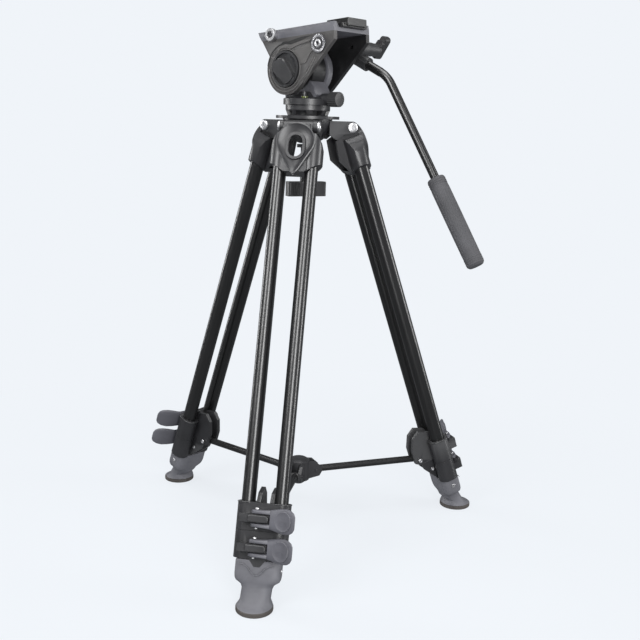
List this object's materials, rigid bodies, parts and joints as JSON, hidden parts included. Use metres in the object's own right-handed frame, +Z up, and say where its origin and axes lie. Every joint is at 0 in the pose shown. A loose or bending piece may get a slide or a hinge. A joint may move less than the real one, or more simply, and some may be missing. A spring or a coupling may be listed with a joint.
{
  "type": "video tripod with fluid head",
  "caption": "Collapsed twin-tube video tripod with flip-lock legs, mid-level spreader, levelling bowl, fluid head with sliding camera plate, and pan bar.",
  "frame": {"origin": "on the floor under the middle of the whole outline", "axes": "+Z up; -Y towards the lens side of the head; +X the operator's left, with the pan bar on the -X side"},
  "size_m": [0.5269, 0.5552, 0.7374],
  "materials": {
    "black_anodised": "gloss black anodised",
    "casting": "satin glass-filled plastic",
    "deck_grey": "satin grey coated aluminium",
    "lever_plastic": "fine-grained grey plastic",
    "boot_rubber": "fine-grained grey moulding",
    "sole_rubber": "matte",
    "steel": "bright turned steel",
    "dark_plastic": "satin black plastic",
    "grip_rubber": "matte ribbed rubber",
    "bubble": "clear yellow-green vial",
    "red_plastic": "satin",
    "yoke_black": "satin black",
    "pad_rubber": "matte"
  },
  "bodies": {
    "crown": {"crown": "casting", "hinge_bolts": "steel"},
    "leg_front": {"shoulder_front": "casting", "upper_tubes_front": "black_anodised", "upper_lock_front": "casting"},
    "upper_lever_front": {"upper_lever_front": "lever_plastic"},
    "middle_front": {"middle_tubes_front": "black_anodised", "lower_lock_front": "casting"},
    "lower_lever_front": {"lower_lever_front": "lever_plastic"},
    "foot_front": {"lower_tubes_front": "black_anodised", "boot_front": "boot_rubber", "sole_front": "sole_rubber"},
    "arm_front": {"spreader_arm_front": "yoke_black"},
    "leg_left": {"shoulder_left": "casting", "upper_tubes_left": "black_anodised", "upper_lock_left": "casting"},
    "upper_lever_left": {"upper_lever_left": "lever_plastic"},
    "middle_left": {"middle_tubes_left": "black_anodised", "lower_lock_left": "casting"},
    "lower_lever_left": {"lower_lever_left": "lever_plastic"},
    "foot_left": {"lower_tubes_left": "black_anodised", "boot_left": "boot_rubber", "sole_left": "sole_rubber"},
    "arm_left": {"spreader_arm_left": "yoke_black"},
    "leg_right": {"shoulder_right": "casting", "upper_tubes_right": "black_anodised", "upper_lock_right": "casting"},
    "upper_lever_right": {"upper_lever_right": "lever_plastic"},
    "middle_right": {"middle_tubes_right": "black_anodised", "lower_lock_right": "casting"},
    "lower_lever_right": {"lower_lever_right": "lever_plastic"},
    "foot_right": {"lower_tubes_right": "black_anodised", "boot_right": "boot_rubber", "sole_right": "sole_rubber"},
    "arm_right": {"spreader_arm_right": "yoke_black"},
    "hub": {"spreader_hub": "casting"},
    "dish": {"clamp_dish": "dark_plastic"},
    "ball": {"half_ball": "casting"},
    "clamp_knob": {"clamp_knob": "dark_plastic"},
    "base": {"pan_base": "casting", "bubble_level": "bubble", "tilt_yoke": "yoke_black", "tilt_drum": "yoke_black"},
    "pan_lock_knob": {"pan_lock_knob": "dark_plastic"},
    "head": {"left_side_plate": "casting", "right_side_plate": "casting", "platform": "deck_grey", "right_cap": "dark_plastic", "accessory_bush": "steel", "left_rosette": "deck_grey"},
    "tilt_lock_lever": {"tilt_lock_lever": "dark_plastic"},
    "slide_plate": {"camera_plate": "black_anodised", "plate_pad": "pad_rubber"},
    "camera_screw": {"camera_screw": "steel"},
    "plate_lock_lever": {"plate_lock_lever": "dark_plastic"},
    "plate_release_button": {"plate_release_button": "red_plastic"},
    "bar": {"bar_clamp": "dark_plastic", "pan_bar": "black_anodised", "grip": "grip_rubber"},
    "wing_knob": {"wing_knob": "dark_plastic"}
  },
  "joints": [
    {"name": "leg_fold_front", "type": "hinge", "parent": "crown", "child": "leg_front", "pos_m": [0.0058, -0.0438, 0.59576], "axis": [1, 0, 0], "range_deg": [0, 16.5]},
    {"name": "upper_lever_open_front", "type": "hinge", "parent": "leg_front", "child": "upper_lever_front", "pos_m": [0.0018, -0.23467, 0.1132], "axis": [0, -0.3295, -0.9441], "range_deg": [0, 110]},
    {"name": "middle_slide_front", "type": "slide", "parent": "leg_front", "child": "middle_front", "axis": [0, -0.3295, -0.9441], "range_m": [0, 0.43]},
    {"name": "lower_lever_open_front", "type": "hinge", "parent": "middle_front", "child": "lower_lever_front", "pos_m": [0.0018, -0.2467, 0.07874], "axis": [0, -0.3295, -0.9441], "range_deg": [0, 110]},
    {"name": "lower_slide_front", "type": "slide", "parent": "middle_front", "child": "foot_front", "axis": [0, -0.3295, -0.9441], "range_m": [0, 0.43]},
    {"name": "leg_fold_left", "type": "hinge", "parent": "crown", "child": "leg_left", "pos_m": [0.05603, 0.0432, 0.59576], "axis": [-0.5, 0.866, 0], "range_deg": [0, 16.5]},
    {"name": "upper_lever_open_left", "type": "hinge", "parent": "leg_left", "child": "upper_lever_left", "pos_m": [0.22333, 0.13517, 0.1132], "axis": [0.2854, 0.1648, -0.9441], "range_deg": [0, 110]},
    {"name": "middle_slide_left", "type": "slide", "parent": "leg_left", "child": "middle_left", "axis": [0.2854, 0.1648, -0.9441], "range_m": [0, 0.43]},
    {"name": "lower_lever_open_left", "type": "hinge", "parent": "middle_left", "child": "lower_lever_left", "pos_m": [0.23375, 0.14119, 0.07874], "axis": [0.2854, 0.1648, -0.9441], "range_deg": [0, 110]},
    {"name": "lower_slide_left", "type": "slide", "parent": "middle_left", "child": "foot_left", "axis": [0.2854, 0.1648, -0.9441], "range_m": [0, 0.43]},
    {"name": "leg_fold_right", "type": "hinge", "parent": "crown", "child": "leg_right", "pos_m": [-0.04443, 0.0432, 0.59576], "axis": [-0.5, -0.866, 0], "range_deg": [0, 16.5]},
    {"name": "upper_lever_open_right", "type": "hinge", "parent": "leg_right", "child": "upper_lever_right", "pos_m": [-0.20773, 0.1421, 0.1132], "axis": [-0.2854, 0.1648, -0.9441], "range_deg": [0, 110]},
    {"name": "middle_slide_right", "type": "slide", "parent": "leg_right", "child": "middle_right", "axis": [-0.2854, 0.1648, -0.9441], "range_m": [0, 0.43]},
    {"name": "lower_lever_open_right", "type": "hinge", "parent": "middle_right", "child": "lower_lever_right", "pos_m": [-0.21815, 0.14811, 0.07874], "axis": [-0.2854, 0.1648, -0.9441], "range_deg": [0, 110]},
    {"name": "lower_slide_right", "type": "slide", "parent": "middle_right", "child": "foot_right", "axis": [-0.2854, 0.1648, -0.9441], "range_m": [0, 0.43]},
    {"name": "hub_slide", "type": "slide", "parent": "crown", "child": "hub", "axis": [0, 0, 1], "range_m": [0, 0.1443]},
    {"name": "arm_fold_front", "type": "hinge", "parent": "hub", "child": "arm_front", "pos_m": [0.0058, -0.0118, 0.086], "axis": [1, 0, 0], "range_deg": [0, 81]},
    {"name": "arm_fold_left", "type": "hinge", "parent": "hub", "child": "arm_left", "pos_m": [0.02832, 0.0272, 0.086], "axis": [-0.5, 0.866, 0], "range_deg": [0, 81]},
    {"name": "arm_fold_right", "type": "hinge", "parent": "hub", "child": "arm_right", "pos_m": [-0.01672, 0.0272, 0.086], "axis": [-0.5, -0.866, 0], "range_deg": [0, 81]},
    {"name": "level_fore_aft", "type": "hinge", "parent": "crown", "child": "dish", "pos_m": [0.0058, 0.0142, 0.61], "axis": [1, 0, 0], "range_deg": [-5, 5]},
    {"name": "level_sideways", "type": "hinge", "parent": "dish", "child": "ball", "pos_m": [0.0058, 0.0142, 0.61], "axis": [0, 1, 0], "range_deg": [-5, 5]},
    {"name": "clamp_knob_spin", "type": "hinge", "parent": "ball", "child": "clamp_knob", "pos_m": [0.0058, 0.0142, 0.54], "axis": [0, 0, 1], "continuous": true},
    {"name": "pan", "type": "hinge", "parent": "ball", "child": "base", "pos_m": [0.0058, 0.0142, 0.63], "axis": [0, 0, 1], "continuous": true},
    {"name": "pan_lock_spin", "type": "hinge", "parent": "base", "child": "pan_lock_knob", "pos_m": [0.0058, 0.0642, 0.6328], "axis": [0, 1, 0], "continuous": true},
    {"name": "tilt", "type": "hinge", "parent": "base", "child": "head", "pos_m": [0.0058, 0.0057, 0.6717], "axis": [1, 0, 0], "range_deg": [-20, 85.3]},
    {"name": "tilt_lock_turn", "type": "hinge", "parent": "head", "child": "tilt_lock_lever", "pos_m": [0.0058, 0.0057, 0.6717], "axis": [1, 0, 0], "range_deg": [0, 60]},
    {"name": "plate_slide", "type": "slide", "parent": "head", "child": "slide_plate", "axis": [0, 0.9966, 0.0819], "range_m": [-0.028, 0.025]},
    {"name": "camera_screw_spin", "type": "hinge", "parent": "slide_plate", "child": "camera_screw", "pos_m": [0.0058, 0.00392, 0.71771], "axis": [0, -0.0819, 0.9966], "continuous": true},
    {"name": "plate_lock_turn", "type": "hinge", "parent": "head", "child": "plate_lock_lever", "pos_m": [-0.0322, -0.01003, 0.71656], "axis": [1, 0, 0], "range_deg": [0, 90]},
    {"name": "plate_release_press", "type": "slide", "parent": "head", "child": "plate_release_button", "axis": [1, 0, 0], "range_m": [0, 0.002], "stiffness_N_per_m": 800, "springref_m": -0.001},
    {"name": "bar_swing", "type": "hinge", "parent": "head", "child": "bar", "pos_m": [0.0058, 0.06347, 0.70374], "axis": [1, 0, 0], "range_deg": [-5, 90]},
    {"name": "wing_knob_spin", "type": "hinge", "parent": "bar", "child": "wing_knob", "pos_m": [-0.0742, 0.06347, 0.70374], "axis": [1, 0, 0], "continuous": true}
  ],
  "couplings": [
    {"joint": "arm_fold_front", "follows": "leg_fold_front", "ratio": 4.9098},
    {"joint": "leg_fold_left", "follows": "leg_fold_front", "ratio": 1},
    {"joint": "arm_fold_left", "follows": "leg_fold_front", "ratio": 4.9098},
    {"joint": "leg_fold_right", "follows": "leg_fold_front", "ratio": 1},
    {"joint": "arm_fold_right", "follows": "leg_fold_front", "ratio": 4.9098},
    {"joint": "hub_slide", "follows": "leg_fold_front", "m_per_rad": 0.50113}
  ]
}
